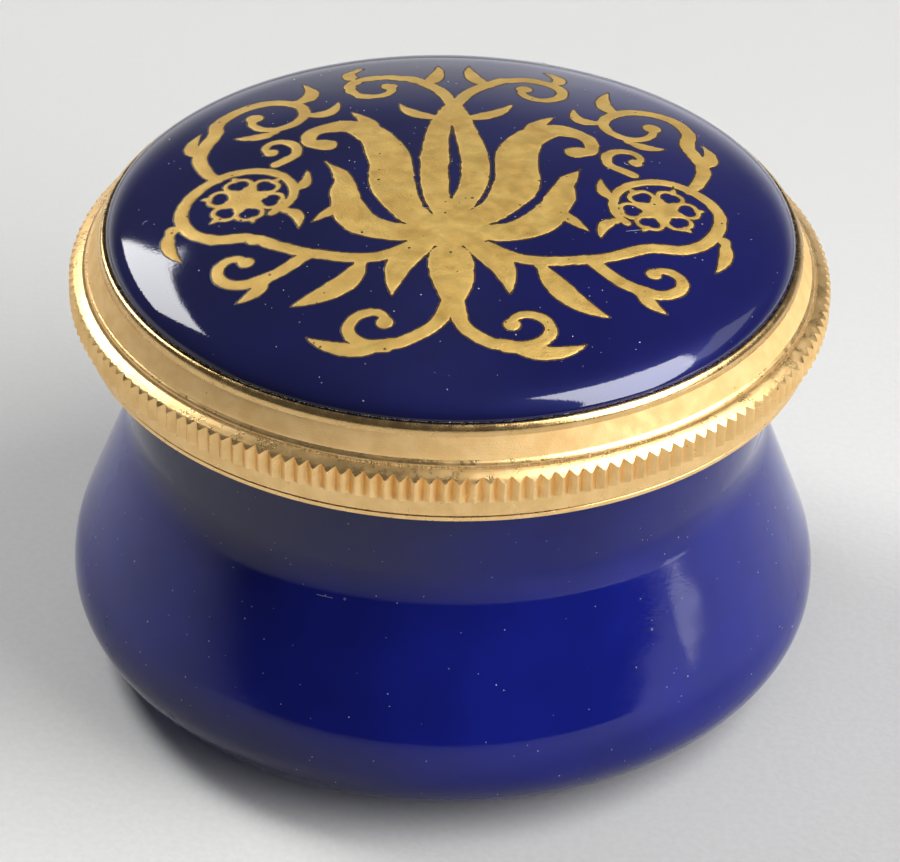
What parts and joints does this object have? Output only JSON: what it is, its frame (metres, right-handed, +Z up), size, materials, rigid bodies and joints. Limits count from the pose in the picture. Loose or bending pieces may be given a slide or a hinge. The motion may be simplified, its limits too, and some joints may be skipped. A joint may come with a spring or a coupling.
{
  "type": "enamel box",
  "caption": "Small round enamelled copper box with a bombe body, a domed screw lid in a milled gilt bezel and a threaded gilt neck collar.",
  "frame": {"origin": "centre of the base, on the plane the box stands on", "axes": "+Z up along the turning axis, through the middle of the lid; +X and +Y in the base plane"},
  "size_m": [0.0446, 0.0446, 0.0304],
  "materials": {
    "enamel_blue": "glossy cobalt vitreous enamel",
    "enamel_white": "glossy white vitreous enamel",
    "gilt": "satin gilt, turned and milled",
    "copper": "raw pressed copper"
  },
  "bodies": {
    "box_body": {"body_outer_enamel": "enamel_blue", "body_copper_shell": "copper", "body_inner_enamel": "enamel_white", "neck_collar": "gilt"},
    "lid_ring": {"lid_retaining_ring": "gilt"},
    "lid": {"lid_bezel": "gilt", "lid_copper_dome": "copper", "lid_outer_enamel": "enamel_blue", "lid_inner_enamel": "enamel_white"}
  },
  "joints": [
    {"name": "lid_rise", "type": "slide", "parent": "box_body", "child": "lid_ring", "axis": [0, 0, 1], "range_m": [0, 0.009]},
    {"name": "lid_turn", "type": "hinge", "parent": "lid_ring", "child": "lid", "pos_m": [0, 0, 0], "axis": [0, 0, 1], "range_deg": [0, 1080]}
  ],
  "couplings": [
    {"joint": "lid_rise", "follows": "lid_turn", "m_per_rad": 0.00047746}
  ]
}
